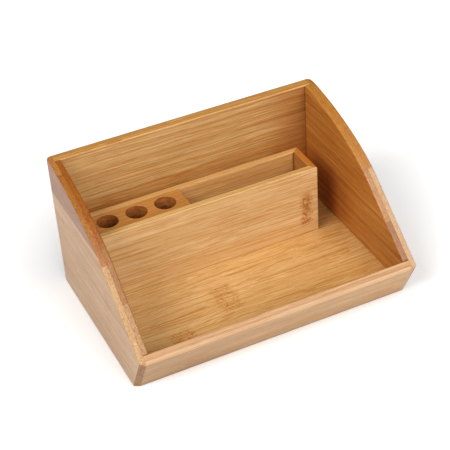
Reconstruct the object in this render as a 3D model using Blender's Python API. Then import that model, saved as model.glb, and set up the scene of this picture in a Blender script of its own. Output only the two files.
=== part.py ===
"""A bamboo desk organiser: a box with sloping sides, a leaning front lip and a walled pen and letter rack.

Metres, +Z up, front towards -Y, origin at the middle of the base. Run it with
blender --background --python part.py, or from Blender's text editor.
"""

import math

import bmesh
import bpy
from mathutils import Matrix, Vector
from mathutils.geometry import interpolate_bezier

# Overall sizes
WIDTH = 0.250
HEIGHT = 0.129
FOOT_DEPTH = 0.1618  # rear face to the front face, measured along the base

# Board stock: the case is two plies thick, the rack is one
PLY = 0.005
CASE_BOARD = 2 * PLY
LIP_BOARD = 0.008
RACK_BOARD = 0.006
JOINT = 0.0001  # open glue line between pieces that stay apart
LOOSE_JOINT = 0.0004  # the right side's inner ply ends a little short of the lip
CLEARANCE = 0.0003  # round a piece that sits in a groove

# Side profile, seen from the side with depth running forwards from the rear face
TOP_START_ANGLE = math.radians(6.0)
TOP_START_HANDLE = 0.0345
SLOPE_START_DEPTH = 0.1195
SLOPE_START_HEIGHT = 0.0904
SLOPE_HANDLE = 0.0349
SLOPE_ANGLE = math.radians(38.8)
LIP_LEAN = math.radians(28.3)  # the lip's face leans forwards from the vertical
NOSE_RADIUS = 0.0048

# Rounded edges
REAR_CORNER_RADIUS = 0.0046
FRONT_CHAMFER = 0.0026  # taken off the front of the outer ply, over its whole thickness
RIGHT_CHAMFER_FOOT = 0.0003  # the right chamfer is narrower, and runs out towards its foot
RIGHT_CHAMFER_NOSE = 0.0036
EASED_EDGE = 0.0012
RACK_EASED_EDGE = 0.0007
RIM_STEPS = 5

# Floor, housed in the sides and the back
FLOOR_TOP = 0.0192
FLOOR_HOUSING = 0.003

# Rack: front wall, rear wall and end wall on the floor, housed in the left side
RACK_FRONT_DEPTH = 0.0716
RACK_REAR_DEPTH = 0.0344
RACK_TOP = 0.0855
RACK_RIGHT = 0.0924
RACK_HOUSING = 0.002

# Pen block at the rack's left end
BLOCK_RIGHT = -0.0250
HOLE_RADIUS = 0.0093
HOLE_PITCH = 0.0262
HOLE_FIRST_X = -0.0952
HOLE_COUNT = 3
HOLE_SIDES = 64
BLOCK_BOTTOM = 0.0055  # wood left under the holes

# Worked out from the above
HALF = WIDTH / 2
INNER_X = HALF - CASE_BOARD
FLOOR_BOTTOM = FLOOR_TOP - CASE_BOARD
FORWARD = Vector((1.0, 0.0))
BACKWARD = Vector((-1.0, 0.0))
UPWARD = Vector((0.0, 1.0))
SLOPE = Vector((math.cos(SLOPE_ANGLE), -math.sin(SLOPE_ANGLE)))
FACE_DOWN = Vector((-math.sin(LIP_LEAN), -math.cos(LIP_LEAN)))
FACE_INWARD = Vector((-math.cos(LIP_LEAN), math.sin(LIP_LEAN)))


def meet(point, direction, other_point, other_direction):
    """Where two lines of the side profile cross."""
    gap = other_point - point
    share = gap.cross(other_direction) / direction.cross(other_direction)
    return point + direction * share


FOOT = Vector((FOOT_DEPTH, 0.0))
SLOPE_START = Vector((SLOPE_START_DEPTH, SLOPE_START_HEIGHT))
NOSE_TIP = meet(FOOT, FACE_DOWN, SLOPE_START, SLOPE)
NOSE_TANGENT = NOSE_RADIUS * math.tan(SLOPE.angle(FACE_DOWN) / 2)
NOSE_CENTRE = NOSE_TIP + FACE_DOWN * NOSE_TANGENT + FACE_INWARD * NOSE_RADIUS
DEPTH = NOSE_CENTRE.x + NOSE_RADIUS
REAR_Y = DEPTH / 2

BAMBOO = {  # linear base colour, roughness
    "bamboo_caramel": ((0.42, 0.17, 0.045), 0.45),
    "bamboo_honey": ((0.52, 0.27, 0.095), 0.45),
    "bamboo_pale": ((0.60, 0.41, 0.26), 0.42),
}


def clear_scene():
    for obj in list(bpy.data.objects):
        bpy.data.objects.remove(obj, do_unlink=True)


def new_collection(name):
    collection = bpy.data.collections.new(name)
    bpy.context.scene.collection.children.link(collection)
    return collection


def bamboo(name):
    colour, roughness = BAMBOO[name]
    material = bpy.data.materials.get(name) or bpy.data.materials.new(name)
    material.use_nodes = True
    shader = material.node_tree.nodes["Principled BSDF"]
    shader.inputs["Base Color"].default_value = (*colour, 1.0)
    shader.inputs["Roughness"].default_value = roughness
    shader.inputs["Metallic"].default_value = 0.0
    return material


def to_world(depth):
    """World Y of a distance forwards from the rear face."""
    return REAR_Y - depth


def finish(mesh, name, material):
    """Puts a mesh into the scene as one named part."""
    mesh.name = name
    mesh.materials.clear()
    mesh.materials.append(bamboo(material))
    mesh.shade_smooth()
    mesh.set_sharp_from_angle(angle=math.radians(25))
    obj = bpy.data.objects.new(name, mesh)
    PARTS.objects.link(obj)
    return obj


def near(value, target, reach=1e-5):
    return abs(value - target) < reach


def block_mesh(low, high):
    """A bmesh box between two corners given as (x, depth, z)."""
    low_y, high_y = to_world(high[1]), to_world(low[1])
    size = Vector((high[0] - low[0], high_y - low_y, high[2] - low[2]))
    centre = Vector((low[0] + high[0], low_y + high_y, low[2] + high[2])) / 2
    bm = bmesh.new()
    placing = Matrix.Translation(centre) @ Matrix.Diagonal(size).to_4x4()
    bmesh.ops.create_cube(bm, size=1.0, matrix=placing)
    return bm


def mesh_of(bm, name):
    mesh = bpy.data.meshes.new(name)
    bmesh.ops.recalc_face_normals(bm, faces=bm.faces)
    bm.to_mesh(mesh)
    bm.free()
    return mesh


def board(name, outline, left, right, material):
    """A piece with the same side profile all the way from x = left to x = right."""
    bm = bmesh.new()
    face = bm.faces.new([bm.verts.new((left, to_world(depth), z)) for depth, z in outline])
    swept = bmesh.ops.extrude_face_region(bm, geom=[face], use_keep_orig=True)
    swept_verts = [item for item in swept["geom"] if isinstance(item, bmesh.types.BMVert)]
    bmesh.ops.translate(bm, verts=swept_verts, vec=(right - left, 0, 0))
    return finish(mesh_of(bm, name), name, material)


def rim_rows(rim, joint_x, face_x):
    """One row of points for each rim station: from the joint plane, round the rim, to the flat face.

    A station is (position, where the flat face starts, rounding radius).
    """
    towards_joint = math.copysign(1.0, joint_x - face_x)
    rows = []
    for position, start, radius in rim:
        row = [(joint_x, to_world(position.x), position.y)]
        for step in range(RIM_STEPS + 1):
            turn = math.radians(90.0) * step / RIM_STEPS
            place = position.lerp(start, 1 - math.cos(turn))
            x = face_x + towards_joint * radius * (1 - math.sin(turn))
            row.append((x, to_world(place.x), place.y))
        rows.append(row)
    return rows


def rear_corner_rows(joint_x, face_x):
    """Rows up the rounded vertical corner, with its foot and top eased all the way round."""
    towards_joint = math.copysign(1.0, joint_x - face_x)
    rows = []
    for middle, first_tilt in ((EASED_EDGE, -90.0), (HEIGHT - EASED_EDGE, 0.0)):
        for step in range(RIM_STEPS + 1):
            tilt = math.radians(first_tilt + 90.0 * step / RIM_STEPS)
            inset = EASED_EDGE * (1 - math.cos(tilt))
            radius = REAR_CORNER_RADIUS - inset
            z = middle + EASED_EDGE * math.sin(tilt)
            row = [(joint_x, to_world(inset), z)]
            for turn_step in range(RIM_STEPS + 1):
                turn = math.radians(90.0) * turn_step / RIM_STEPS
                x = face_x + towards_joint * (REAR_CORNER_RADIUS - radius * math.sin(turn))
                row.append((x, to_world(REAR_CORNER_RADIUS - radius * math.cos(turn)), z))
            rows.append(row)
    return rows


def skin(bm, rows):
    """Quads between neighbouring rows of points; returns the rows' vertices."""
    verts = [[bm.verts.new(point) for point in row] for row in rows]
    for row, following in zip(verts, verts[1:]):
        for index in range(1, len(row)):
            bm.faces.new((row[index - 1], row[index], following[index], following[index - 1]))
    return verts


def inward(way):
    """The normal into the board, for an outline that runs up the rear and forwards along the top."""
    return Vector((way.y, -way.x))


def arc(tip, way_in, way_out, radius, steps):
    """An arc in place of the corner at tip."""
    turn = way_in.angle(way_out)
    start = tip - way_in * radius * math.tan(turn / 2)
    centre = start + inward(way_in) * radius
    spoke = start - centre
    return [centre + Matrix.Rotation(-turn * step / steps, 2) @ spoke for step in range(steps + 1)]


def eased_corner(tip, way_in, way_out):
    return arc(tip, way_in, way_out, EASED_EDGE, 4)


def corner_rim(tip, way_in, way_out):
    """Rim stations round an eased corner."""
    start = meet(tip + inward(way_in) * EASED_EDGE, way_in, tip + inward(way_out) * EASED_EDGE, way_out)
    return [(position, start, EASED_EDGE) for position in eased_corner(tip, way_in, way_out)]


def top_rim(start_depth):
    """Rim stations along the side's top edge, from start_depth to where the slope is straight."""
    start = Vector((start_depth, HEIGHT))
    leave = start + Vector((math.cos(TOP_START_ANGLE), -math.sin(TOP_START_ANGLE))) * TOP_START_HANDLE
    arrive = SLOPE_START - SLOPE * SLOPE_HANDLE
    path = [Vector(place[:2]) for place in interpolate_bezier(start, leave, arrive, SLOPE_START, 17)]
    rim = [(start, start - UPWARD * EASED_EDGE, EASED_EDGE)]
    for before, place, after in zip(path, path[1:], path[2:] + [SLOPE_START + SLOPE]):
        rim.append((place, place + inward((after - before).normalized()) * EASED_EDGE, EASED_EDGE))
    return rim


def nose():
    """The round nose between the slope and the lip's face."""
    return arc(NOSE_TIP, SLOPE, FACE_DOWN, NOSE_RADIUS, 8)


def lip_plane(thickness):
    """Where the plane this far behind the lip's face meets the slope and the base."""
    on_face = FOOT + FACE_INWARD * thickness
    top = meet(on_face, FACE_DOWN, SLOPE_START, SLOPE)
    base = meet(on_face, FACE_DOWN, Vector((0, 0)), BACKWARD)
    return top, base


def chamfer_front(bm, side, foot_width, nose_width):
    """Cuts the front corner off the outer ply in one plane; the widths are measured across the lip's face."""
    low = Vector((side * (HALF - foot_width), to_world(FOOT.x), 0))
    high = Vector((side * (HALF - nose_width), to_world(NOSE_TIP.x), NOSE_TIP.y))
    across = Vector((side * PLY, -FACE_INWARD.x * FRONT_CHAMFER, FACE_INWARD.y * FRONT_CHAMFER))
    outward = side * (low - high).cross(across).normalized()
    everything = bm.verts[:] + bm.edges[:] + bm.faces[:]
    cut_through = bmesh.ops.bisect_plane(
        bm, geom=everything, dist=1e-7, plane_co=low, plane_no=outward, clear_outer=True)
    rim = [item for item in cut_through["geom_cut"] if isinstance(item, bmesh.types.BMEdge)]
    bmesh.ops.edgeloop_fill(bm, edges=rim)


def outer_ply(side, name, chamfer_foot, chamfer_nose):
    """The ply with the whole side profile, the rounded vertical corner and the front chamfer."""
    below = Vector((REAR_CORNER_RADIUS, 0))
    above = Vector((REAR_CORNER_RADIUS, HEIGHT))
    rim = [(above, above - UPWARD * EASED_EDGE, EASED_EDGE)] + top_rim(CASE_BOARD)
    for position in nose():
        rim.append((position, position + (NOSE_CENTRE - position).normalized() * EASED_EDGE, EASED_EDGE))
    rim += corner_rim(FOOT, FACE_DOWN, BACKWARD)
    rim.append((below, below + UPWARD * EASED_EDGE, EASED_EDGE))

    joint_x = side * (HALF - PLY + JOINT / 2)
    face_x = side * HALF
    bm = bmesh.new()
    outline = skin(bm, rim_rows(rim, joint_x, face_x))
    corner = skin(bm, rear_corner_rows(joint_x, face_x))
    bm.faces.new(corner[-1] + [outline[0][0]])
    bm.faces.new(corner[0] + [outline[-1][0]])
    bm.faces.new([row[-1] for row in outline])
    bm.faces.new([row[0] for row in outline + corner])
    bmesh.ops.remove_doubles(bm, verts=bm.verts, dist=1e-6)
    chamfer_front(bm, side, chamfer_foot, chamfer_nose)
    finish(mesh_of(bm, name), name, "bamboo_pale")


def inner_ply(side, name, lip_joint):
    """The ply that stops short at both ends, which forms the rabbets for the back and the lip."""
    top, base = lip_plane(LIP_BOARD + lip_joint)
    rear = Vector((CASE_BOARD + JOINT, 0))
    below_top = meet(top, FACE_DOWN, top + inward(SLOPE) * EASED_EDGE, SLOPE)
    rim = [(rear, rear, 0)] + top_rim(rear.x) + [(top, below_top, EASED_EDGE), (base, base, 0)]
    rows = rim_rows(rim, side * (HALF - PLY - JOINT / 2), side * INNER_X)
    bm = bmesh.new()
    outline = skin(bm, rows + rows[:1])[:-1]
    bm.faces.new([row[0] for row in outline])
    bm.faces.new([row[-1] for row in outline])
    bmesh.ops.remove_doubles(bm, verts=bm.verts, dist=1e-6)
    return finish(mesh_of(bm, name), name, "bamboo_caramel")


def cut(obj, cutter):
    modifier = obj.modifiers.new("cut_" + cutter.name, "BOOLEAN")
    modifier.operation = "DIFFERENCE"
    modifier.solver = "EXACT"
    modifier.object = cutter


def cutter_from(bm, name):
    obj = bpy.data.objects.new(name, mesh_of(bm, name))
    obj.hide_render = True
    obj.display_type = "WIRE"
    CUTTERS.objects.link(obj)
    return obj


def back_plies():
    """Two plies between the sides' outer plies; the front one is returned for grooving."""
    reach = HALF - PLY - JOINT / 2
    rear_joint = PLY - JOINT / 2
    rear_outline = (
        eased_corner(Vector((0, 0)), BACKWARD, UPWARD)
        + eased_corner(Vector((0, HEIGHT)), UPWARD, FORWARD)
        + [Vector((rear_joint, HEIGHT)), Vector((rear_joint, 0))]
    )
    front_joint = PLY + JOINT / 2
    front_outline = (
        [Vector((front_joint, 0)), Vector((front_joint, HEIGHT))]
        + eased_corner(Vector((CASE_BOARD, HEIGHT)), FORWARD, -UPWARD)
        + [Vector((CASE_BOARD, 0))]
    )
    board("back_rear_ply", rear_outline, -reach, reach, "bamboo_honey")
    return board("back_front_ply", front_outline, -reach, reach, "bamboo_honey")


def lip_plies():
    """Two plies that lean forwards in the front rabbets; the outer one carries the nose."""
    reach = HALF - PLY - JOINT / 2
    outer_top, outer_base = lip_plane((LIP_BOARD - JOINT) / 2)
    outer_outline = [outer_top] + nose() + eased_corner(FOOT, FACE_DOWN, BACKWARD) + [outer_base]
    joint_top, joint_base = lip_plane((LIP_BOARD + JOINT) / 2)
    inner_top, inner_base = lip_plane(LIP_BOARD)
    inner_edge = arc(inner_top, -FACE_DOWN, SLOPE, RACK_EASED_EDGE, 3)
    board("lip_outer_ply", outer_outline, -reach, reach, "bamboo_pale")
    board("lip_inner_ply", inner_edge + [joint_top, joint_base, inner_base], -reach, reach, "bamboo_honey")


def floor_outline(top, bottom, rear):
    """Floor section in the side profile, its front edge cut to lie along the leaning lip."""
    on_face = FOOT + FACE_INWARD * (LIP_BOARD + JOINT)
    return [
        Vector((rear, bottom)),
        Vector((rear, top)),
        meet(on_face, FACE_DOWN, Vector((0, top)), FORWARD),
        meet(on_face, FACE_DOWN, Vector((0, bottom)), FORWARD),
    ]


def floor_plies():
    reach = INNER_X + FLOOR_HOUSING
    rear = CASE_BOARD - FLOOR_HOUSING
    middle = FLOOR_TOP - PLY
    upper = floor_outline(FLOOR_TOP, middle + JOINT / 2, rear)
    lower = floor_outline(middle - JOINT / 2, FLOOR_BOTTOM, rear)
    board("floor_upper_ply", upper, -reach, reach, "bamboo_honey")
    board("floor_lower_ply", lower, -reach, reach, "bamboo_honey")


def floor_groove_cutter():
    """The floor's shape with clearance all round; it passes the lip end of the sides' inner plies."""
    reach = INNER_X + FLOOR_HOUSING + CLEARANCE
    bm = block_mesh(
        (-reach, CASE_BOARD - FLOOR_HOUSING - CLEARANCE, FLOOR_BOTTOM - CLEARANCE),
        (reach, FOOT_DEPTH + CASE_BOARD, FLOOR_TOP + CLEARANCE),
    )
    return cutter_from(bm, "floor_groove")


def plan_board(name, corners, material):
    """A rack board from its plan, given as (x, depth) corners, with both long top edges eased."""
    bm = bmesh.new()
    face = bm.faces.new([bm.verts.new((x, to_world(depth), FLOOR_TOP + JOINT)) for x, depth in corners])
    swept = bmesh.ops.extrude_face_region(bm, geom=[face], use_keep_orig=True)
    swept_verts = [item for item in swept["geom"] if isinstance(item, bmesh.types.BMVert)]
    bmesh.ops.translate(bm, verts=swept_verts, vec=(0, 0, RACK_TOP - FLOOR_TOP - JOINT))

    def long_top_edge(edge):
        a, b = (v.co for v in edge.verts)
        way = b - a
        at_top = near(a.z, RACK_TOP) and near(b.z, RACK_TOP)
        return at_top and way.length > 1.5 * RACK_BOARD

    bmesh.ops.bevel(
        bm,
        geom=[edge for edge in bm.edges if long_top_edge(edge)],
        offset=RACK_EASED_EDGE,
        offset_type="OFFSET",
        segments=2,
        profile=0.5,
        affect="EDGES",
        clamp_overlap=False,
    )
    return finish(mesh_of(bm, name), name, material)


def rack():
    """Two long walls and an end wall, mitred together at the right, and the pen block at the left."""
    left = -INNER_X - RACK_HOUSING
    inner_right = RACK_RIGHT - RACK_BOARD
    inner_front = RACK_FRONT_DEPTH - RACK_BOARD
    inner_rear = RACK_REAR_DEPTH + RACK_BOARD
    plan_board("rack_front_wall", [(left, RACK_FRONT_DEPTH), (RACK_RIGHT, RACK_FRONT_DEPTH),
                                   (inner_right, inner_front), (left, inner_front)], "bamboo_honey")
    plan_board("rack_rear_wall", [(left, inner_rear), (inner_right, inner_rear),
                                  (RACK_RIGHT, RACK_REAR_DEPTH), (left, RACK_REAR_DEPTH)], "bamboo_honey")
    mitre_gap = JOINT * math.sqrt(2)
    plan_board("rack_end_wall", [
        (inner_right, inner_rear + mitre_gap),
        (inner_right, inner_front - mitre_gap),
        (RACK_RIGHT, RACK_FRONT_DEPTH - mitre_gap),
        (RACK_RIGHT, RACK_REAR_DEPTH + mitre_gap),
    ], "bamboo_caramel")
    pen_block(FLOOR_TOP + JOINT, inner_rear + JOINT, inner_front - JOINT)


def rack_housing_cutters():
    """One housing in the left side for each long rack wall."""
    cutters = []
    for name, rear in (("rear_wall_housing", RACK_REAR_DEPTH),
                       ("front_wall_housing", RACK_FRONT_DEPTH - RACK_BOARD)):
        bm = block_mesh(
            (-INNER_X - RACK_HOUSING - CLEARANCE, rear - CLEARANCE, FLOOR_TOP - PLY / 2),
            (-INNER_X + PLY, rear + RACK_BOARD + CLEARANCE, RACK_TOP + CLEARANCE),
        )
        cutters.append(cutter_from(bm, name))
    return cutters


def pen_block(stand, rear, front):
    """A laminated block between the rack walls, drilled from above with blind pen holes."""
    bm = block_mesh((-INNER_X + JOINT, rear, stand), (BLOCK_RIGHT, front, RACK_TOP))
    block = finish(mesh_of(bm, "pen_block"), "pen_block", "bamboo_caramel")
    foot = stand + BLOCK_BOTTOM
    mouth = RACK_TOP + PLY
    middle_y = (to_world(rear) + to_world(front)) / 2
    for index in range(HOLE_COUNT):
        bm = bmesh.new()
        place = Vector((HOLE_FIRST_X + index * HOLE_PITCH, middle_y, (foot + mouth) / 2))
        bmesh.ops.create_cone(
            bm,
            cap_ends=True,
            segments=HOLE_SIDES,
            radius1=HOLE_RADIUS,
            radius2=HOLE_RADIUS,
            depth=mouth - foot,
            matrix=Matrix.Translation(place),
        )
        cut(block, cutter_from(bm, f"pen_hole_{index + 1}"))


clear_scene()
PARTS = new_collection("desk_organiser")
CUTTERS = new_collection("cutters")

outer_ply(-1, "left_side_outer_ply", PLY, PLY)
outer_ply(1, "right_side_outer_ply", RIGHT_CHAMFER_FOOT, RIGHT_CHAMFER_NOSE)
left_inner = inner_ply(-1, "left_side_inner_ply", JOINT)
right_inner = inner_ply(1, "right_side_inner_ply", LOOSE_JOINT)
back_front = back_plies()
lip_plies()
floor_plies()
rack()

groove = floor_groove_cutter()
for housed in (left_inner, right_inner, back_front):
    cut(housed, groove)
for housing in rack_housing_cutters():
    cut(left_inner, housing)
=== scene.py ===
import math
from collections import namedtuple

import bmesh
import bpy
from mathutils import Euler, Matrix, Vector
from mathutils.geometry import interpolate_bezier


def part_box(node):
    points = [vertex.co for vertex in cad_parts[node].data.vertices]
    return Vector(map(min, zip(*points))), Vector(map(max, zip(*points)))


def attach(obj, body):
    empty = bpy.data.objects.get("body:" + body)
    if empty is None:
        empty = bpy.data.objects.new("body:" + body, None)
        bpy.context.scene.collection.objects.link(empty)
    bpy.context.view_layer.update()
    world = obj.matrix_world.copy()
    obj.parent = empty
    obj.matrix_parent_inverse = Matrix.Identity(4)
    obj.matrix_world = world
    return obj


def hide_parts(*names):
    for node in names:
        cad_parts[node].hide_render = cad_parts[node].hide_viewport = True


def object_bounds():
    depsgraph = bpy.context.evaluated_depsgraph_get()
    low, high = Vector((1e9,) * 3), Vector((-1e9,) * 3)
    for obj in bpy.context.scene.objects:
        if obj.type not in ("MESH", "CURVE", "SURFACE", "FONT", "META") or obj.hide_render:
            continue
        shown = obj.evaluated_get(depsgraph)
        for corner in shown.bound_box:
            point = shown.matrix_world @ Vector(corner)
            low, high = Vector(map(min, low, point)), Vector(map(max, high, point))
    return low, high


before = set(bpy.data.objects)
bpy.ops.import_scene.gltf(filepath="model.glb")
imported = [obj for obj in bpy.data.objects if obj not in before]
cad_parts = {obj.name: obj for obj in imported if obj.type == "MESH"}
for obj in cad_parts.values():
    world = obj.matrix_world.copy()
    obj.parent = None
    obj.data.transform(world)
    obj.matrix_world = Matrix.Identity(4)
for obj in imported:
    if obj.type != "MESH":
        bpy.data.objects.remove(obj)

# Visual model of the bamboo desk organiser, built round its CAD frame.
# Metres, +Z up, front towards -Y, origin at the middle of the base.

CAD_BOX = [list(corner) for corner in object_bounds()]

X, Y, Z = range(3)

# Sizes that the frame gives
HALF = CAD_BOX[1][X]
REAR_Y = CAD_BOX[1][Y]
HEIGHT = CAD_BOX[1][Z]
FLOOR_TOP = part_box("floor_upper_ply")[1].z
FLOOR_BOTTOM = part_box("floor_lower_ply")[0].z
FLOOR_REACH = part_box("floor_upper_ply")[1].x
FLOOR_REAR_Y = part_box("floor_upper_ply")[1].y
FRONT_WALL_LOW, FRONT_WALL_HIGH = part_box("rack_front_wall")
REAR_WALL_LOW, REAR_WALL_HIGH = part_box("rack_rear_wall")
BLOCK_LOW, BLOCK_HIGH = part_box("pen_block")
INNER_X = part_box("right_side_inner_ply")[0].x

# The organiser's own construction sizes
PLY = 0.005
CASE_BOARD = 2 * PLY
LIP_BOARD = 0.008
RACK_BOARD = 0.006
JOINT = 0.0001
LOOSE_JOINT = 0.0004
CLEARANCE = 0.0003
FOOT_DEPTH = 0.1618
REACH = HALF - PLY - JOINT / 2  # the back and the lip lie between the two outer plies

# Side profile, with depth running forwards from the rear face
TOP_START_ANGLE = math.radians(6.0)
TOP_START_HANDLE = 0.0345
SLOPE_START = Vector((0.1195, 0.0904))
SLOPE_HANDLE = 0.0349
SLOPE_ANGLE = math.radians(38.8)
LIP_LEAN = math.radians(28.3)
NOSE_RADIUS = 0.0048

# Directions in the side profile
FORWARD = Vector((1.0, 0.0))
BACKWARD = Vector((-1.0, 0.0))
UPWARD = Vector((0.0, 1.0))
SLOPE = Vector((math.cos(SLOPE_ANGLE), -math.sin(SLOPE_ANGLE)))
FACE_DOWN = Vector((-math.sin(LIP_LEAN), -math.cos(LIP_LEAN)))
FACE_INWARD = Vector((-math.cos(LIP_LEAN), math.sin(LIP_LEAN)))

# Rounded edges and how finely they are divided
REAR_CORNER_RADIUS = 0.0046
FRONT_CHAMFER = 0.0026
RIGHT_CHAMFER_FOOT = 0.0003  # the right chamfer is narrower, and runs out towards its foot
RIGHT_CHAMFER_NOSE = 0.0036
EASED_EDGE = 0.0012
FINE_EASED_EDGE = 0.0007
MOUTH_EASED_EDGE = 0.0004
RIM_STEPS = 8
CORNER_STEPS = 6
NOSE_STEPS = 16
FINE_EDGE_STEPS = 5
MOUTH_STEPS = 3
CURVE_POINTS = 41
ROUND_PROFILE = 0.5  # a bevel with this profile is part of a circle

# Pen holes
HOLE_RADIUS = 0.0093
HOLE_CORNER = 0.0006
HOLE_SIDES = 96
HOLE_COUNT = 3
HOLE_FIRST_X = -0.0952
HOLE_PITCH = 0.0262
HOLE_CENTRES = [HOLE_FIRST_X + index * HOLE_PITCH for index in range(HOLE_COUNT)]
HOLE_MIDDLE_Y = (BLOCK_LOW.y + BLOCK_HIGH.y) / 2
WOOD_UNDER_HOLES = 0.0055
HOLE_FOOT = BLOCK_LOW.z + WOOD_UNDER_HOLES

# Limits for sorting faces and edges
SMOOTH_ANGLE = math.radians(25)
LARGE_FACE = 1.5e-4  # square metres: bigger faces are flats, smaller ones belong to rounded edges
LONG_EDGE = 1.5 * RACK_BOARD  # the edges across a rack board, mitred or square, are shorter than this
TOLERANCE = 0.0001
MERGE_DISTANCE = 1e-6
PLANE_DISTANCE = 1e-7

# How much of a face's normal has to point one way before the face counts as facing that way
IN_CHAMFER = 0.999
FACING_SIDE = 0.85
FACING_END = 0.9
FACING_MOSTLY = 0.6
FACING_UP = 0.3
UNDER_NOSE = -0.25  # the nose's material also covers faces that look a little downwards

# Bamboo tones, linear
TAN = (0.4672, 0.2585, 0.0936)
HONEY = (0.49, 0.27, 0.095)
GOLD = (0.49, 0.26, 0.082)
ORANGE = (0.345, 0.141, 0.0207)
CARAMEL = (0.265, 0.076, 0.0039)
END_GRAIN = (0.285, 0.17, 0.10)

# Tones of the sides
STRAW_FACE = (0.418, 0.247, 0.124)
STRAW_DEEP = (0.46, 0.26, 0.11)
STRAW_EDGE = (0.39, 0.219, 0.08)
MAUVE = (0.2764, 0.1235, 0.054)
AMBER = (0.304, 0.112, 0.0143)
AMBER_FACE = (0.4389, 0.1696, 0.0297)
GOLD_EDGE = (0.346, 0.141, 0.0313)
LIGHT_EDGE = (0.33, 0.168, 0.056)
UMBER = (0.257, 0.1, 0.0158)
ROSE = (0.329, 0.1615, 0.052)
ROSE_DEEP = (0.246, 0.101, 0.031)

# Tones of the back, the lip and the floor
TAN_DEEP = (0.4872, 0.2348, 0.0677)
BACK_RIM = (0.445, 0.2226, 0.0566)
LIP_TAN = (0.40, 0.226, 0.082)
LIP_NOSE = (0.35, 0.186, 0.075)
# Painted highlight: the lower part of the lip's nose, lighter where light catches it
NOSE_PAINTED_HIGHLIGHT = (0.485, 0.297, 0.155)
LIP_BAND = (0.387, 0.199, 0.0715)
FLOOR_TAN = (0.505, 0.297, 0.113)

# Tones of the rack
RACK_TAN = (0.5614, 0.3448, 0.1527)
RACK_RIM = (0.497, 0.288, 0.102)
RACK_INSIDE = (0.50, 0.25, 0.082)
END_FACE = (0.404, 0.158, 0.037)
END_AMBER = (0.36, 0.12, 0.013)
BLOCK = (0.3708, 0.1545, 0.0296)
DRILLED = (0.323, 0.113, 0.025)

# Colours that the details of the grain multiply into the tone under them
BAND_TINT = (0.90, 0.80, 0.64)
BLOTCH_TINT = (0.93, 0.88, 0.80)
STREAK_TINT = (0.81, 0.66, 0.44)
HAIR_TINT = (1.20, 1.31, 1.54)
PORE_TINT = (0.76, 0.64, 0.50)
DOT_TINT = (0.80, 0.68, 0.50)
LIGHT_DOT_TINT = (1.06, 1.10, 1.16)
NODE_TINT = (0.88, 0.74, 0.52)
CURL_TINT = (0.60, 0.38, 0.20)
DRILL_TINT = (0.72, 0.60, 0.46)
WEAR_TINT = (1.03, 1.04, 1.06)

# Shade in the slot's inner corner and down the pen holes
DEEP_SHADE = (0.50, 0.38, 0.28)

# The rest of the grain
GLUE_TINT = 0.80
GLUE_LINE = 0.0022  # thickness as a share of the organiser's height
SEED_STEP = (0.37, 0.53, 0.29)  # metres between two stretches of wood whose seeds are 1 apart
DRILL_MARKS = (170, 170, 420)  # per metre
STREAK_ROUGHNESS = 0.14
PORE_ROUGHNESS = 0.08
BUMP_STRENGTH = 0.4
BUMP_HEIGHT = 0.00008
STREAK_HEIGHT = 0.8  # as shares of the bump's height
PORE_HEIGHT = 0.6
DRILL_HEIGHT = 3.0

# Photograph's camera, angles in degrees
CAMERA_PLACE = (-0.3635, -0.8294, 0.7390)
CAMERA_TURN = (53.508, 3.294, -25.753)
CAMERA_LENS = 107.65
CAMERA_SENSOR = 36.0

# Soft suns: azimuth from the front towards the right, elevation, strength, spread; angles in degrees
SUNS = {
    "front_softbox": (13, 55, 2.35, 58),
    "low_front_softbox": (12, 28, 1.0, 50),
    "left_softbox": (-66, 42, 2.5, 32),
}
SKY_STRENGTH = 0.12
STUDIO_FLOOR_HALF = 12.0
STUDIO_WHITE = 0.87


# ---------------------------------------------------------------- materials

# A node of the bamboo: its middle and half length along the grain, its low and high ends across the grain,
# and how strongly it shows
Mark = namedtuple("Mark", "centre half_length low high strength")


def scaled(colour, factor):
    return tuple(channel * factor for channel in colour)


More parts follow.
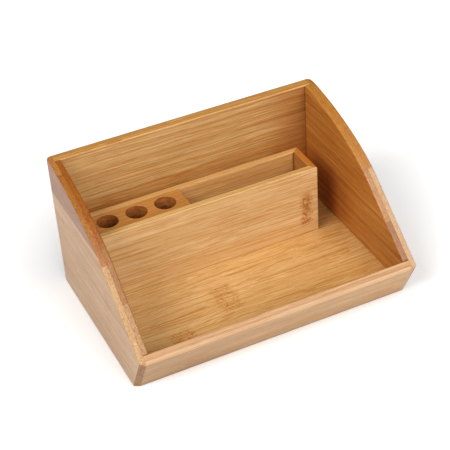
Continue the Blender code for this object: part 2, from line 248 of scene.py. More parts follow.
class Graph:
    """Short forms for building one material out of nodes."""

    def __init__(self, name):
        self.material = bpy.data.materials.new(name)
        self.material.use_nodes = True
        self.nodes = self.material.node_tree.nodes
        self.links = self.material.node_tree.links
        self.shader = self.nodes["Principled BSDF"]

    def put(self, socket, value):
        if isinstance(value, bpy.types.NodeSocket):
            self.links.new(value, socket)
        else:
            socket.default_value = value

    def node(self, kind, inputs, **settings):
        made = self.nodes.new("ShaderNode" + kind)
        for key, value in settings.items():
            setattr(made, key, value)
        for key, value in inputs.items():
            self.put(made.inputs[key], value)
        return made

    def math(self, operation, *values):
        return self.node("Math", dict(enumerate(values)), operation=operation).outputs[0]

    def vector(self, operation, *values):
        return self.node("VectorMath", dict(enumerate(values)), operation=operation).outputs[0]

    def noise(self, place, detail=2.0, roughness=0.5, distortion=0.0):
        inputs = {"Vector": place, "Scale": 1.0, "Detail": detail, "Roughness": roughness,
                  "Distortion": distortion}
        return self.node("TexNoise", inputs)

    def fade(self, value, start, end):
        """0 at start and 1 at end, eased."""
        inputs = {"Value": value, "From Min": start, "From Max": end}
        return self.node("MapRange", inputs, interpolation_type="SMOOTHSTEP").outputs[0]

    def span(self, value, low, high, blur):
        """1 between low and high, fading out over blur."""
        above_low = self.fade(value, low - blur, low + blur)
        below_high = self.fade(value, high + blur, high - blur)
        return self.math("MULTIPLY", above_low, below_high)

    def tint(self, colour, factor, other):
        """Multiplies colour by other, as far as factor says."""
        settings = {"data_type": "RGBA", "blend_type": "MULTIPLY"}
        return self.node("Mix", {0: factor, 6: colour, 7: (*other, 1.0)}, **settings).outputs[2]

    def veil(self, colour, other, strength, value, start, end):
        """Multiplies colour by other where value fades from start to end."""
        return self.tint(colour, self.math("MULTIPLY", self.fade(value, start, end), strength), other)

    def steps(self, factor, stops):
        """A colour ramp that changes abruptly at each (position, colour)."""
        made = self.node("ValToRGB", {"Fac": factor})
        made.color_ramp.interpolation = "CONSTANT"
        elements = made.color_ramp.elements
        elements.remove(elements[1])
        for index, (position, colour) in enumerate(stops):
            element = elements[0] if index == 0 else elements.new(position)
            element.position = position
            element.color = (*colour, 1.0)
        return made.outputs["Color"]


class BoardGraph(Graph):
    """A material whose noises follow the fibres of one board.

    place is where a point is on the object; wood is where it is in the solid noise, which the seed moves.
    """

    def __init__(self, name, grain, seed):
        super().__init__(name)
        self.grain = grain
        self.place = self.node("TexCoord", {}).outputs["Object"]
        self.axes = self.node("SeparateXYZ", {0: self.place}).outputs
        self.wood = self.vector("ADD", self.place, scaled(SEED_STEP, seed))

    def stretched(self, source, length, width):
        """Scales places so that a blot of noise is about this long and this wide."""
        scale = [1 / width] * 3
        scale[self.grain] = 1 / length
        return self.vector("MULTIPLY", source, tuple(scale))

    def moved(self, source, noise_node, along, sideways):
        """Moves places by up to half of along and half of sideways."""
        centred = self.vector("SUBTRACT", noise_node.outputs["Color"], (0.5, 0.5, 0.5))
        reach = [sideways] * 3
        reach[self.grain] = along
        return self.vector("ADD", source, self.vector("MULTIPLY", centred, tuple(reach)))

    def fibres(self, source, length, width, detail, **settings):
        return self.noise(self.stretched(source, length, width), detail, **settings).outputs["Fac"]


def strip_stops(strips):
    """Ramp stops for laminated strips, given as (start in metres, colour), with glue lines between them."""
    stops = []
    for index, (start, colour) in enumerate(strips):
        if index:
            stops.append((start / HEIGHT - GLUE_LINE, scaled(strips[index - 1][1], GLUE_TINT)))
        stops.append((start / HEIGHT, colour))
    return stops


def cut_fibres(g, colour, strength):
    """Small dots, dark and light, where the fibres are cut across."""
    dots = g.fibres(g.wood, length=0.0022, width=0.0009, detail=1.5)
    colour = g.veil(colour, DOT_TINT, strength, dots, start=0.48, end=0.68)
    return g.veil(colour, LIGHT_DOT_TINT, strength, dots, start=0.50, end=0.34)


def bamboo_node(g, mark, across, colour, height):
    """A ragged, darker patch where the fibres curl."""
    ruffle = g.noise(g.stretched(g.wood, length=0.02, width=0.0035))
    ragged = g.node("SeparateXYZ", {0: g.moved(g.place, ruffle, along=0.012, sideways=0.004)}).outputs
    start, end = mark.centre - mark.half_length, mark.centre + mark.half_length
    patch = g.math("MULTIPLY", g.span(ragged[g.grain], start, end, blur=0.0025),
                   g.span(ragged[across], mark.low, mark.high, blur=0.0012))
    patch = g.math("MULTIPLY", patch, mark.strength)
    # The curled fibres are drawn where a swirling noise passes through its middle value
    swirls = g.fibres(g.wood, length=0.0048, width=0.0066, detail=1.0, distortion=1.8)
    from_middle = g.math("ABSOLUTE", g.math("SUBTRACT", swirls, 0.5))
    curls = g.math("MULTIPLY", patch, g.fade(from_middle, start=0.075, end=0.015))
    colour = g.tint(colour, g.math("MULTIPLY", patch, 0.8), NODE_TINT)
    return g.tint(colour, curls, CURL_TINT), g.math("SUBTRACT", height, curls)


def drill_marks(g, colour, height):
    """Turns left by the drill."""
    turns = g.noise(g.vector("MULTIPLY", g.wood, DRILL_MARKS), detail=2.5, distortion=1.8).outputs["Fac"]
    colour = g.tint(colour, g.fade(turns, start=0.44, end=0.60), DRILL_TINT)
    return colour, g.math("MULTIPLY_ADD", turns, DRILL_HEIGHT, height)


def bamboo(name, grain, strips, seed, contrast=1.0, wander=0.0035, marks=(), across=Z, shades=(),
           roughness=0.42, polish=0.5, speckle=0.0, drilled=False):
    """Solid laminated bamboo.

    grain is the fibres' axis, strips are (height where it starts, colour) and seed picks the stretch of
    wood. contrast is how strongly the grain shows, wander how far the fibres stray sideways and speckle how
    strongly cut fibres show. marks are the bamboo's nodes, whose low and high are on the across axis. shades
    lists painted shade and light, each ([(axis, from, to), ...], colour multiplied there).
    """
    g = BoardGraph(name, grain, seed)
    drift = g.noise(g.stretched(g.wood, length=0.060, width=0.018), detail=1.5)
    straying = g.moved(g.wood, drift, along=0.0, sideways=wander)

    streaks = g.fibres(straying, length=0.150, width=0.00135, detail=3.0, roughness=0.66)
    hairs = g.fibres(straying, length=0.080, width=0.00085, detail=1.5, roughness=0.6)
    bands = g.fibres(straying, length=0.240, width=0.0075, detail=1.0)
    pores = g.fibres(straying, length=0.009, width=0.00040, detail=1.0)
    blotches = g.fibres(g.wood, length=0.045, width=0.028, detail=2.0)

    colour = g.steps(g.math("DIVIDE", g.axes[Z], HEIGHT), strip_stops(strips))
    colour = g.veil(colour, BAND_TINT, 0.6 * contrast, bands, start=0.46, end=0.68)
    colour = g.veil(colour, BLOTCH_TINT, 0.5, blotches, start=0.40, end=0.75)
    colour = g.veil(colour, STREAK_TINT, contrast, streaks, start=0.49, end=0.59)
    colour = g.veil(colour, HAIR_TINT, contrast, hairs, start=0.55, end=0.63)
    open_pores = g.fade(pores, start=0.58, end=0.70)
    colour = g.tint(colour, g.math("MULTIPLY", open_pores, 0.6), PORE_TINT)
    height = g.math("MULTIPLY_ADD", streaks, STREAK_HEIGHT, g.math("MULTIPLY", pores, PORE_HEIGHT))
    if speckle:
        colour = cut_fibres(g, colour, speckle)
    for mark in marks:
        colour, height = bamboo_node(g, mark, across, colour, height)
    if drilled:
        colour, height = drill_marks(g, colour, height)
    # Painted shade and light, multiplied into the colour
    for fades, shade in shades:
        depth = 1.0
        for axis, start, end in fades:
            depth = g.math("MULTIPLY", depth, g.fade(g.axes[axis], start, end))
        colour = g.tint(colour, depth, shade)
    wear = g.node("Attribute", {}, attribute_name="wear").outputs["Fac"]
    colour = g.tint(colour, wear, WEAR_TINT)

    g.put(g.shader.inputs["Base Color"], colour)
    shine = g.math("MULTIPLY_ADD", streaks, STREAK_ROUGHNESS, roughness - STREAK_ROUGHNESS / 2)
    g.put(g.shader.inputs["Roughness"], g.math("MULTIPLY_ADD", open_pores, PORE_ROUGHNESS, shine))
    g.put(g.shader.inputs["Specular IOR Level"], polish)
    bump = g.node("Bump", {"Strength": BUMP_STRENGTH, "Distance": BUMP_HEIGHT, "Height": height})
    g.put(g.shader.inputs["Normal"], bump.outputs[0])
    return g.material


# ---------------------------------------------------------------- shapes

def meet(point, direction, other_point, other_direction):
    """Where two lines of the side profile cross."""
    gap = other_point - point
    share = gap.cross(other_direction) / direction.cross(other_direction)
    return point + direction * share


FOOT = Vector((FOOT_DEPTH, 0.0))
NOSE_TIP = meet(FOOT, FACE_DOWN, SLOPE_START, SLOPE)
NOSE_TANGENT = NOSE_RADIUS * math.tan(SLOPE.angle(FACE_DOWN) / 2)
NOSE_CENTRE = NOSE_TIP + FACE_DOWN * NOSE_TANGENT + FACE_INWARD * NOSE_RADIUS


def to_world(depth):
    """World Y of a distance forwards from the rear face."""
    return REAR_Y - depth


def inward(way):
    """The normal into the board, for an outline that runs up the rear and forwards along the top."""
    return Vector((way.y, -way.x))


def arc(tip, way_in, way_out, radius, steps):
    """An arc in place of the corner at tip."""
    turn = way_in.angle(way_out)
    start = tip - way_in * radius * math.tan(turn / 2)
    centre = start + inward(way_in) * radius
    spoke = start - centre
    return [centre + Matrix.Rotation(-turn * step / steps, 2) @ spoke for step in range(steps + 1)]


def eased_corner(tip, way_in, way_out):
    return arc(tip, way_in, way_out, EASED_EDGE, CORNER_STEPS)


def corner_rim(tip, way_in, way_out):
    """Rim stations round an eased corner."""
    start = meet(tip + inward(way_in) * EASED_EDGE, way_in, tip + inward(way_out) * EASED_EDGE, way_out)
    return [(position, start, EASED_EDGE) for position in eased_corner(tip, way_in, way_out)]


def top_rim(start_depth):
    """Rim stations along the side's top edge, from start_depth to where the slope is straight."""
    start = Vector((start_depth, HEIGHT))
    leave = start + Vector((math.cos(TOP_START_ANGLE), -math.sin(TOP_START_ANGLE))) * TOP_START_HANDLE
    arrive = SLOPE_START - SLOPE * SLOPE_HANDLE
    path = [place.to_2d() for place in interpolate_bezier(start, leave, arrive, SLOPE_START, CURVE_POINTS)]
    rim = [(start, start - UPWARD * EASED_EDGE, EASED_EDGE)]
    for before, place, after in zip(path, path[1:], path[2:] + [SLOPE_START + SLOPE]):
        rim.append((place, place + inward((after - before).normalized()) * EASED_EDGE, EASED_EDGE))
    return rim


def nose():
    """The round nose between the slope and the lip's face."""
    return arc(NOSE_TIP, SLOPE, FACE_DOWN, NOSE_RADIUS, NOSE_STEPS)


def lip_plane(thickness):
    """Where the plane this far behind the lip's face meets the slope and the base."""
    on_face = FOOT + FACE_INWARD * thickness
    top = meet(on_face, FACE_DOWN, SLOPE_START, SLOPE)
    base = meet(on_face, FACE_DOWN, Vector((0, 0)), BACKWARD)
    return top, base


def object_from(bm, name):
    """Turns a bmesh into an object in the scene."""
    mesh = bpy.data.meshes.new(name)
    bmesh.ops.recalc_face_normals(bm, faces=bm.faces)
    bm.to_mesh(mesh)
    bm.free()
    obj = bpy.data.objects.new(name, mesh)
    bpy.context.scene.collection.objects.link(obj)
    return obj


def box_mesh(low, high):
    """A bmesh box between two corners."""
    low, high = Vector(low), Vector(high)
    bm = bmesh.new()
    size = Matrix.Diagonal(high - low).to_4x4()
    bmesh.ops.create_cube(bm, size=1.0, matrix=Matrix.Translation((low + high) / 2) @ size)
    return bm


def swept_mesh(outline, way):
    """A bmesh solid: a flat outline swept along way."""
    bm = bmesh.new()
    face = bm.faces.new([bm.verts.new(point) for point in outline])
    swept = bmesh.ops.extrude_face_region(bm, geom=[face], use_keep_orig=True)
    swept_verts = [item for item in swept["geom"] if isinstance(item, bmesh.types.BMVert)]
    bmesh.ops.translate(bm, verts=swept_verts, vec=way)
    return bm


def cut(obj, cutters):
    """Cuts the cutters out of obj and deletes them."""
    for cutter in cutters:
        modifier = obj.modifiers.new("cut", "BOOLEAN")
        modifier.operation = "DIFFERENCE"
        modifier.solver = "EXACT"
        modifier.object = cutter
    solid = bpy.data.meshes.new_from_object(obj.evaluated_get(bpy.context.evaluated_depsgraph_get()))
    obj.modifiers.clear()
    obj.data = solid
    for cutter in cutters:
        bpy.data.objects.remove(cutter)


def complete(obj, nodes, materials, choose):
    """Gives a piece its materials face by face, its worn edges and its shading, and ties it to the frame."""
    mesh = obj.data
    mesh.materials.clear()
    for material in materials:
        mesh.materials.append(material)
    bm = bmesh.new()
    bm.from_mesh(mesh)
    bm.normal_update()
    wear = bm.verts.layers.float.new("wear")
    for face in bm.faces:
        face.material_index = choose(face)
    for vert in bm.verts:
        vert[wear] = float(all(face.calc_area() < LARGE_FACE for face in vert.link_faces))
    bm.to_mesh(mesh)
    bm.free()
    mesh.shade_smooth()
    mesh.set_sharp_from_angle(angle=SMOOTH_ANGLE)
    weighted = obj.modifiers.new("flat faces stay flat", "WEIGHTED_NORMAL")
    weighted.keep_sharp = True
    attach(obj, "root")
    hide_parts(*nodes)


def by_height(face):
    """The second material is for faces that look up, the third for the ends."""
    if abs(face.normal.x) > FACING_END:
        return 2
    return 1 if face.normal.z > FACING_UP else 0


def round_nose(face):
    """As by_height, but the second material goes right round the nose to the lip's face."""
    if abs(face.normal.x) > FACING_END:
        return 2
    return 1 if face.normal.z > UNDER_NOSE else 0


def profile_board(name, outline):
    """A board between the outer plies, with the same side profile from end to end."""
    points = [(-REACH, to_world(depth), z) for depth, z in outline]
    return object_from(swept_mesh(points, (2 * REACH, 0, 0)), name)


def rim_rows(rim, joint_x, face_x):
    """One row of points for each rim station: from the joint plane, round the rim, to the flat face.

    A station is (position, where the flat face starts, rounding radius).
    """
    towards_joint = math.copysign(1.0, joint_x - face_x)
    rows = []
    for position, start, radius in rim:
        row = [(joint_x, to_world(position.x), position.y)]
        for step in range(RIM_STEPS + 1):
            turn = math.radians(90.0) * step / RIM_STEPS
            place = position.lerp(start, 1 - math.cos(turn))
            x = face_x + towards_joint * radius * (1 - math.sin(turn))
            row.append((x, to_world(place.x), place.y))
        rows.append(row)
    return rows


def rear_corner_rows(joint_x, face_x):
    """Rows up the rounded vertical corner, with its foot and top eased all the way round."""
    towards_joint = math.copysign(1.0, joint_x - face_x)
    rows = []
    for middle, first_tilt in ((EASED_EDGE, -90.0), (HEIGHT - EASED_EDGE, 0.0)):
        for step in range(RIM_STEPS + 1):
            tilt = math.radians(first_tilt + 90.0 * step / RIM_STEPS)
            inset = EASED_EDGE * (1 - math.cos(tilt))
            z = middle + EASED_EDGE * math.sin(tilt)
            row = [(joint_x, to_world(inset), z)]
            for turn_step in range(RIM_STEPS + 1):
                turn = math.radians(90.0) * turn_step / RIM_STEPS
                radius = REAR_CORNER_RADIUS - inset
                x = face_x + towards_joint * (REAR_CORNER_RADIUS - radius * math.sin(turn))
                row.append((x, to_world(REAR_CORNER_RADIUS - radius * math.cos(turn)), z))
            rows.append(row)
    return rows


def skin(bm, rows):
    """Quads between neighbouring rows of points; returns the rows' vertices."""
    verts = [[bm.verts.new(point) for point in row] for row in rows]
    for row, following in zip(verts, verts[1:]):
        for index in range(1, len(row)):
            bm.faces.new((row[index - 1], row[index], following[index], following[index - 1]))
    return verts


def chamfer_plane(side, foot_width, nose_width):
    """A point and the outward direction of the plane that cuts the side's front corner.

    The widths are measured across the lip's face.
    """
    low = Vector((side * (HALF - foot_width), to_world(FOOT.x), 0))
    high = Vector((side * (HALF - nose_width), to_world(NOSE_TIP.x), NOSE_TIP.y))
    across = Vector((side * PLY, -FACE_INWARD.x * FRONT_CHAMFER, FACE_INWARD.y * FRONT_CHAMFER))
    return low, (side * (low - high).cross(across)).normalized()


def outer_ply(side, name, node, materials, chamfer_foot, chamfer_nose):
    """The ply with the whole side profile, the rounded vertical corner and the front chamfer."""
    behind = Vector((REAR_CORNER_RADIUS, 0))
    above = Vector((REAR_CORNER_RADIUS, HEIGHT))
    rim = [(above, above - UPWARD * EASED_EDGE, EASED_EDGE)] + top_rim(CASE_BOARD)
    for position in nose():
        rim.append((position, position + (NOSE_CENTRE - position).normalized() * EASED_EDGE, EASED_EDGE))
    rim += corner_rim(FOOT, FACE_DOWN, BACKWARD)
    rim.append((behind, behind + UPWARD * EASED_EDGE, EASED_EDGE))
    joint_x, face_x = side * (HALF - PLY + JOINT / 2), side * HALF
    bm = bmesh.new()
    outline = skin(bm, rim_rows(rim, joint_x, face_x))
    corner = skin(bm, rear_corner_rows(joint_x, face_x))
    bm.faces.new(corner[-1] + [outline[0][0]])
    bm.faces.new(corner[0] + [outline[-1][0]])
    bm.faces.new([row[-1] for row in outline])
    bm.faces.new([row[0] for row in outline + corner])
    bmesh.ops.remove_doubles(bm, verts=bm.verts, dist=MERGE_DISTANCE)
    point, outward = chamfer_plane(side, chamfer_foot, chamfer_nose)
    everything = bm.verts[:] + bm.edges[:] + bm.faces[:]
    cut_through = bmesh.ops.bisect_plane(
        bm, geom=everything, dist=PLANE_DISTANCE, plane_co=point, plane_no=outward, clear_outer=True)
    edges = [item for item in cut_through["geom_cut"] if isinstance(item, bmesh.types.BMEdge)]
    bmesh.ops.edgeloop_fill(bm, edges=edges)

    def choose(face):
        if face.normal.dot(outward) > IN_CHAMFER:
            return 2
        return 0 if abs(face.normal.x) > FACING_SIDE else 1

    complete(object_from(bm, name), [node], materials, choose)


def inner_ply(side, name, lip_joint, node, materials, cutters):
    """The ply that stops short at both ends, which forms the rabbets for the back and the lip."""
    top, base = lip_plane(LIP_BOARD + lip_joint)
    rear = Vector((CASE_BOARD + JOINT, 0))
    below_top = meet(top, FACE_DOWN, top + inward(SLOPE) * EASED_EDGE, SLOPE)
    rim = [(rear, rear, 0)] + top_rim(rear.x) + [(top, below_top, EASED_EDGE), (base, base, 0)]
    rows = rim_rows(rim, side * (HALF - PLY - JOINT / 2), side * INNER_X)
    bm = bmesh.new()
    outline = skin(bm, rows + rows[:1])
    bm.faces.new([row[0] for row in outline[:-1]])
    bm.faces.new([row[-1] for row in outline[:-1]])
    bmesh.ops.remove_doubles(bm, verts=bm.verts, dist=MERGE_DISTANCE)
    obj = object_from(bm, name)
    cut(obj, cutters)

    def choose(face):
        return 0 if abs(face.normal.x) > FACING_SIDE else 1

    complete(obj, [node], materials, choose)


def floor_groove():
    """Room for the floor in the sides and the back."""
    return object_from(box_mesh(
        (-FLOOR_REACH - CLEARANCE, to_world(FOOT_DEPTH + CASE_BOARD), FLOOR_BOTTOM - CLEARANCE),
        (FLOOR_REACH + CLEARANCE, FLOOR_REAR_Y + CLEARANCE, FLOOR_TOP + CLEARANCE)), "groove")


def wall_housing(low, high):
    """Room in the left side for the end of a rack wall."""
    return object_from(box_mesh(
        (low.x - CLEARANCE, low.y - CLEARANCE, FLOOR_TOP - PLY / 2),
        (-INNER_X + PLY, high.y + CLEARANCE, high.z + CLEARANCE)), "housing")


def plan_board(name, node, corners, materials, grain):
    """A rack board from its plan, given as (x, y) corners, with both long top edges eased."""
    low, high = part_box(node)
    bm = swept_mesh([(x, y, low.z) for x, y in corners], (0, 0, high.z - low.z))
    long_edges = []
    for edge in bm.edges:
        a, b = (vert.co for vert in edge.verts)
        if min(a.z, b.z) > high.z - TOLERANCE and (b - a).length > LONG_EDGE:
            long_edges.append(edge)
    bmesh.ops.bevel(bm, geom=long_edges, offset=FINE_EASED_EDGE, offset_type="OFFSET",
                    segments=FINE_EDGE_STEPS, profile=ROUND_PROFILE, affect="EDGES", clamp_overlap=False)

    def choose(face):
        if face.normal.z > FACING_MOSTLY:
            return 1
        return 2 if abs(face.normal[grain]) > FACING_MOSTLY else 0

    complete(object_from(bm, name), [node], materials, choose)


def hole_cutter(x):
    """The shape of one pen hole: flat foot with a small corner, straight wall, eased mouth."""
    top = BLOCK_HIGH.z
    profile = [(HOLE_RADIUS - HOLE_CORNER, HOLE_FOOT),
               (HOLE_RADIUS - HOLE_CORNER / 3, HOLE_FOOT + HOLE_CORNER / 3),
               (HOLE_RADIUS, HOLE_FOOT + HOLE_CORNER), (HOLE_RADIUS, top - MOUTH_EASED_EDGE)]
    for step in range(1, MOUTH_STEPS + 1):
        turn = math.radians(90.0) * step / MOUTH_STEPS
        profile.append((HOLE_RADIUS + MOUTH_EASED_EDGE * (1 - math.cos(turn)),
                        top - MOUTH_EASED_EDGE * (1 - math.sin(turn))))
    profile.append((profile[-1][0], top + PLY))
    bm = bmesh.new()
    rings = []
    for radius, z in profile:
        ring = []
        for index in range(HOLE_SIDES):
            angle = math.tau * index / HOLE_SIDES
            around = (x + radius * math.cos(angle), HOLE_MIDDLE_Y + radius * math.sin(angle), z)
            ring.append(bm.verts.new(around))
        rings.append(ring)
    bm.faces.new(rings[0])
    bm.faces.new(rings[-1])
    for lower, upper in zip(rings, rings[1:]):
        for index, vert in enumerate(lower):
            bm.faces.new((lower[index - 1], vert, upper[index], upper[index - 1]))
    return object_from(bm, "hole")


def pen_block(materials):
    """The laminated block with its three blind holes."""
    obj = object_from(box_mesh(BLOCK_LOW, BLOCK_HIGH), "rack_pen_block")
    cut(obj, [hole_cutter(x) for x in HOLE_CENTRES])

    def choose(face):
        centre = face.calc_center_bounds()
        off_axis = min(math.hypot(centre.x - x, centre.y - HOLE_MIDDLE_Y) for x in HOLE_CENTRES)
        if off_axis < HOLE_RADIUS + TOLERANCE and centre.z < BLOCK_HIGH.z - MOUTH_EASED_EDGE / 2:
            return 1
        return 2 if abs(face.normal.x) > FACING_END else 0

    complete(obj, ["pen_block"], materials, choose)


# ---------------------------------------------------------------- pieces

end_grain = bamboo("end_grain", Y, [(0, END_GRAIN)], 9.1, roughness=0.75, polish=0.15, speckle=0.5)
end_grain_x = bamboo("end_grain_x", X, [(0, END_GRAIN)], 4.7, roughness=0.70, polish=0.2, speckle=0.5)


def left_outer_side():
    """Pale straw strips under a mauve one, with an even chamfer."""
    strips = [(0, scaled(STRAW_FACE, 0.93)), (0.025, STRAW_FACE), (0.054, scaled(STRAW_FACE, 0.97)),
              (0.075, scaled(STRAW_FACE, 1.04)), (0.097, MAUVE)]
    face = bamboo("left_outer_face", Y, strips, 1.3, contrast=0.75,
                  marks=[Mark(to_world(0.117), 0.006, 0.036, 0.068, 0.25)])
    edge = bamboo("left_outer_edge", Y, [(0, STRAW_EDGE), (0.092, AMBER), (0.126, GOLD_EDGE)], 2.2,
                  contrast=0.8, speckle=0.8)
    outer_ply(-1, "side_left_outer", "left_side_outer_ply", [face, edge, end_grain], PLY, PLY)


def right_outer_side():
    """Pale outside, with a top edge that turns orange towards the rear."""
    strips = [(0, STRAW_FACE), (0.030, scaled(STRAW_FACE, 0.95)), (0.068, scaled(STRAW_FACE, 1.03)),
              (0.097, STRAW_DEEP)]
    face = bamboo("right_outer_face", Y, strips, 3.1, contrast=0.8)
    edge = bamboo("right_outer_edge", Y, [(0, STRAW_FACE), (0.097, ORANGE)], 3.6, contrast=0.6,
                  speckle=0.5)
    outer_ply(1, "side_right_outer", "right_side_outer_ply", [face, edge, end_grain],
              RIGHT_CHAMFER_FOOT, RIGHT_CHAMFER_NOSE)


def left_inner_side():
    """Honey inside, darker along its top edge, and housed for the two rack walls."""
    face = bamboo("left_inner_face", Y, [(0, HONEY), (0.071, HONEY), (0.100, CARAMEL)], 5.4)
    edge = bamboo("left_inner_edge", Y, [(0, LIGHT_EDGE), (0.071, UMBER), (0.100, CARAMEL)], 5.9,
                  contrast=0.8, speckle=0.9)
    cutters = [floor_groove(), wall_housing(FRONT_WALL_LOW, FRONT_WALL_HIGH),
               wall_housing(REAR_WALL_LOW, REAR_WALL_HIGH)]
    inner_ply(-1, "side_left_inner", JOINT, "left_side_inner_ply", [face, edge], cutters)


def right_inner_side():
    """Amber inside, with painted shadow where the rack's end stands before it."""
    strips = [(0, scaled(AMBER_FACE, 0.93)), (0.066, AMBER_FACE), (0.092, scaled(AMBER_FACE, 0.98))]
    # Painted shadow of the rack's end on the side's face, low and towards the rear
    painted_rack_shadow = ([(Y, to_world(0.105), to_world(0.060)), (Z, 0.092, 0.050)], (0.82, 0.60, 0.50))
    face = bamboo("right_inner_face", Y, strips, 6.3, contrast=1.5, shades=[painted_rack_shadow])
    edge = bamboo("right_inner_edge", Y, [(0, ROSE_DEEP), (0.067, ROSE), (0.097, scaled(ORANGE, 1.06))],
                  6.8, contrast=0.6, speckle=0.5)
    inner_ply(1, "side_right_inner", LOOSE_JOINT, "right_side_inner_ply", [face, edge], [floor_groove()])


def back():
    """The back's two plies; the inner face has painted shade low down behind the rack and where it runs into
    the right side, ending in a dark line at the corner joint, and the rear ply's top has painted shade.
    """
    # Painted shade deepening into the corner with the right side, ending in a thin dark line at the joint
    right_end_shades = [([(X, 0.060, 0.112)], (0.75, 0.58, 0.42)), ([(X, 0.106, 0.116)], (0.85, 0.75, 0.65)),
                        ([(X, 0.1138, 0.1148)], (0.65, 0.52, 0.42))]
    # Painted shade: below the rack's top the inner face is a deeper tan
    inner_face = bamboo("back_face", X, [(0, TAN_DEEP), (0.0795, scaled(TAN, 1.09)), (0.097, TAN)], 7.2,
                        contrast=1.25, shades=right_end_shades)
    outer_strips = [(0, TAN_DEEP), (0.032, TAN), (0.068, HONEY), (0.101, scaled(TAN, 0.96))]
    outer_face = bamboo("back_outer", X, outer_strips, 7.9)
    edge = bamboo("back_edge", X, [(0, BACK_RIM)], 7.7, contrast=0.8, speckle=0.3,
                  marks=[Mark(-0.067, 0.007, 0.126, 0.130, 0.8)])
    # Painted shade: the rear ply's top and rear rounding take a darker copy of the rim tone
    shaded_rear_rim = bamboo("back_rim", X, [(0, scaled(BACK_RIM, 0.93))], 8.3, contrast=0.8, speckle=0.3)

    rear_joint = PLY - JOINT / 2
    rear_outline = (
        eased_corner(Vector((0, 0)), BACKWARD, UPWARD)
        + eased_corner(Vector((0, HEIGHT)), UPWARD, FORWARD)
        + [Vector((rear_joint, HEIGHT)), Vector((rear_joint, 0))]
    )
    complete(profile_board("back_rear", rear_outline), ["back_rear_ply"],
             [outer_face, shaded_rear_rim, end_grain_x], by_height)

    front_joint = PLY + JOINT / 2
    front_outline = (
        [Vector((front_joint, 0)), Vector((front_joint, HEIGHT))]
        + eased_corner(Vector((CASE_BOARD, HEIGHT)), FORWARD, -UPWARD)
        + [Vector((CASE_BOARD, 0))]
    )
    front = profile_board("back_front", front_outline)
    cut(front, [floor_groove()])
    complete(front, ["back_front_ply"], [inner_face, edge, end_grain_x], by_height)


def lip():
    """The leaning lip's two plies, with painted shade towards the left, painted light towards the right and
    a painted highlight low on the nose.
    """
    # Painted shade towards the lip's left end and painted light towards its right end
    end_shades = [([(X, 0.0, -0.11)], (0.87, 0.84, 0.82)), ([(X, 0.02, 0.11)], (1.08, 1.10, 1.13))]
    face = bamboo("lip_face", X, [(0, scaled(LIP_TAN, 0.88)), (0.006, LIP_TAN)], 10.3, contrast=0.9,
                  marks=[Mark(-0.072, 0.010, 0.004, 0.020, 0.3)], shades=end_shades)
    # The nose's lower part carries a painted highlight
    nose_with_highlight = bamboo("lip_nose", X, [(0, NOSE_PAINTED_HIGHLIGHT), (0.0408, LIP_NOSE)], 10.9, contrast=0.5)
    band = bamboo("lip_band", X, [(0, LIP_BAND)], 11.5, contrast=0.8)

    outer_top, outer_base = lip_plane((LIP_BOARD - JOINT) / 2)
    outer_outline = [outer_top] + nose() + eased_corner(FOOT, FACE_DOWN, BACKWARD) + [outer_base]
    complete(profile_board("lip_outer", outer_outline), ["lip_outer_ply"],
             [face, nose_with_highlight, end_grain_x], round_nose)

    joint_top, joint_base = lip_plane((LIP_BOARD + JOINT) / 2)
    inner_top, inner_base = lip_plane(LIP_BOARD)
    inner_edge = arc(inner_top, -FACE_DOWN, SLOPE, FINE_EASED_EDGE, CORNER_STEPS)
    complete(profile_board("lip_inner", inner_edge + [joint_top, joint_base, inner_base]),
             ["lip_inner_ply"], [face, band, end_grain_x], by_height)


def floor_plies():
    """Materials for the floor's two plies, which stay as the frame brings them, with painted shade towards
    the right, beside the rack's end, near the lip and in the front left corner.
    """
    # Painted shade on the floor's face: towards the right, in the rack's shadow beside its end, near the lip
    # and in the front left corner
    painted_shade_towards_right = ([(X, -0.06, 0.09)], (0.95, 0.90, 0.80))
    painted_rack_shadow = ([(X, 0.088, 0.094), (Y, to_world(0.082), to_world(0.062))], (0.72, 0.60, 0.52))
    painted_shade_near_lip = ([(Y, to_world(0.138), to_world(0.158))], (0.93, 0.86, 0.79))
    painted_shade_left_corner = ([(Y, to_world(0.125), to_world(0.158)), (X, -0.04, -0.112)], (0.88, 0.82, 0.74))
    marks = [Mark(-0.021, 0.009, to_world(0.134), to_world(0.101), 0.55),
             Mark(-0.074, 0.010, to_world(0.151), to_world(0.139), 0.65)]
    upper = bamboo("floor_face", X, [(0, FLOOR_TAN)], 12.4, wander=0.008, marks=marks, across=Y,
                   shades=[painted_shade_towards_right, painted_rack_shadow, painted_shade_near_lip, painted_shade_left_corner])
    lower = bamboo("floor_core", X, [(0, TAN)], 13.3)
    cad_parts["floor_upper_ply"].material_slots[0].material = upper
    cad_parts["floor_lower_ply"].material_slots[0].material = lower


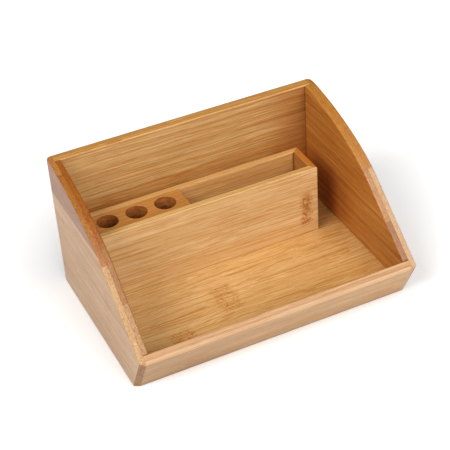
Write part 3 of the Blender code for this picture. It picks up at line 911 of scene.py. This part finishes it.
def rack():
    """Three walls round the letter slot and the pen block, with mitres at the right end."""
    left, right = FRONT_WALL_LOW.x, FRONT_WALL_HIGH.x
    inner_right = right - RACK_BOARD
    front_low, front_high = FRONT_WALL_LOW.y, FRONT_WALL_HIGH.y
    rear_low, rear_high = REAR_WALL_LOW.y, REAR_WALL_HIGH.y
    mitre_gap = JOINT * math.sqrt(2)

    foot_line = [(0, scaled(RACK_TAN, 0.5)), (FLOOR_TOP + 0.0004, RACK_TAN)]
    # Painted shade darkens the front face towards the floor
    front_face = bamboo("rack_face", X, foot_line, 14.6, contrast=0.85,
                        marks=[Mark(0.081, 0.005, 0.029, 0.062, 1.0)],
                        shades=[([(Z, 0.045, FLOOR_TOP)], (1.0, 0.95, 0.85))])
    front_top = bamboo("rack_top", X, [(0, RACK_RIM)], 15.2, contrast=0.7, speckle=0.2)
    slot_corner = ([(X, inner_right - 0.0022, inner_right - 0.0006)], DEEP_SHADE)
    rear_face = bamboo("rack_rear_face", X, [(0, RACK_INSIDE)], 16.1, shades=[slot_corner])
    rear_top = bamboo("rack_rear_top", X, [(0, scaled(GOLD, 0.91))], 16.6, contrast=0.7, speckle=0.2)
    end_face = bamboo("rack_end_face", Y, [(0, END_FACE)], 17.5, polish=0.25)
    end_top = bamboo("rack_end_top", Y, [(0, END_AMBER)], 18.1, contrast=0.7, speckle=0.4)

    front_plan = [(left, front_low), (right, front_low), (inner_right, front_high), (left, front_high)]
    plan_board("rack_front", "rack_front_wall", front_plan,
               [front_face, front_top, end_grain_x], X)
    rear_plan = [(left, rear_low), (inner_right, rear_low), (right, rear_high), (left, rear_high)]
    plan_board("rack_rear", "rack_rear_wall", rear_plan,
               [rear_face, rear_top, end_grain_x], X)
    end_plan = [(inner_right, rear_low - mitre_gap), (inner_right, front_high + mitre_gap),
                (right, front_low + mitre_gap), (right, rear_high - mitre_gap)]
    plan_board("rack_end", "rack_end_wall", end_plan, [end_face, end_top, end_grain], Y)

    block_top = bamboo("block_top", X, [(0, BLOCK)], 19.4, contrast=0.8)
    deep = ([(Z, BLOCK_HIGH.z - 0.002, BLOCK_HIGH.z - 0.014)], DEEP_SHADE)
    hole_wall = bamboo("hole_wall", X, [(0, DRILLED)], 20.2, drilled=True, roughness=0.6, polish=0.2,
                       shades=[deep])
    pen_block([block_top, hole_wall, end_grain_x])


# ---------------------------------------------------------------- floor, light and camera

def studio():
    """A plain pale floor and an even sky."""
    bm = bmesh.new()
    bmesh.ops.create_grid(bm, x_segments=8, y_segments=8, size=STUDIO_FLOOR_HALF)
    studio_floor = object_from(bm, "studio_floor")
    g = Graph("studio_white")
    g.put(g.shader.inputs["Base Color"], (STUDIO_WHITE, STUDIO_WHITE, STUDIO_WHITE, 1.0))
    g.put(g.shader.inputs["Roughness"], 0.9)
    g.put(g.shader.inputs["Specular IOR Level"], 0.1)
    studio_floor.data.materials.append(g.material)

    world = bpy.data.worlds.new("studio")
    world.use_nodes = True
    world.node_tree.nodes["Background"].inputs["Color"].default_value = (1.0, 1.0, 1.0, 1.0)
    world.node_tree.nodes["Background"].inputs["Strength"].default_value = SKY_STRENGTH
    bpy.context.scene.world = world


def sun(name, azimuth, elevation, strength, spread):
    """A soft sun. Azimuth is measured from the front towards the right; all angles are in degrees."""
    light = bpy.data.lights.new(name, "SUN")
    light.energy = strength
    light.angle = math.radians(spread)
    obj = bpy.data.objects.new(name, light)
    across, up = math.radians(azimuth), math.radians(elevation)
    towards = Vector((math.sin(across) * math.cos(up), -math.cos(across) * math.cos(up), math.sin(up)))
    obj.rotation_euler = towards.to_track_quat("Z", "Y").to_euler()
    bpy.context.scene.collection.objects.link(obj)


def photo_camera():
    """A camera where the photograph was taken from."""
    camera = bpy.data.cameras.new("camera")
    camera.lens = CAMERA_LENS
    camera.sensor_width = CAMERA_SENSOR
    camera_object = bpy.data.objects.new("camera", camera)
    camera_object.location = CAMERA_PLACE
    camera_object.rotation_euler = Euler(tuple(math.radians(angle) for angle in CAMERA_TURN))
    bpy.context.scene.collection.objects.link(camera_object)
    bpy.context.scene.camera = camera_object


left_outer_side()
right_outer_side()
left_inner_side()
right_inner_side()
back()
lip()
floor_plies()
rack()
studio()
for sun_name, sun_settings in SUNS.items():
    sun(sun_name, *sun_settings)
photo_camera()
bpy.context.scene.view_settings.view_transform = "Standard"
